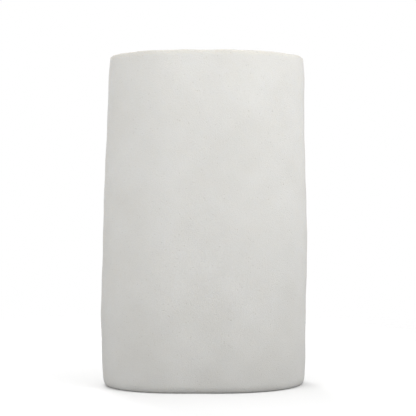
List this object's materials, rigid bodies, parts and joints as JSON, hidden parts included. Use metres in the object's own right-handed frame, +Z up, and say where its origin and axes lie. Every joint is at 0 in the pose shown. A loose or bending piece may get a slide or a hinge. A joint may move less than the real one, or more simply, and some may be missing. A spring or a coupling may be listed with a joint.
{
  "type": "rolled mattress topper",
  "caption": "Egg-crate foam mattress topper, folded in half with its bumps inwards and rolled into an oval upright roll, smooth back outwards.",
  "frame": {"origin": "middle of the roll's box, on the surface that it stands on", "axes": "+Z up along the roll, -Y towards the smooth front, +X to the right seen from the front"},
  "size_m": [0.2632, 0.191, 0.419],
  "materials": {
    "foam": "matt open-cell polyurethane foam, off-white"
  },
  "bodies": {
    "root": {"topper": "foam"}
  },
  "joints": []
}
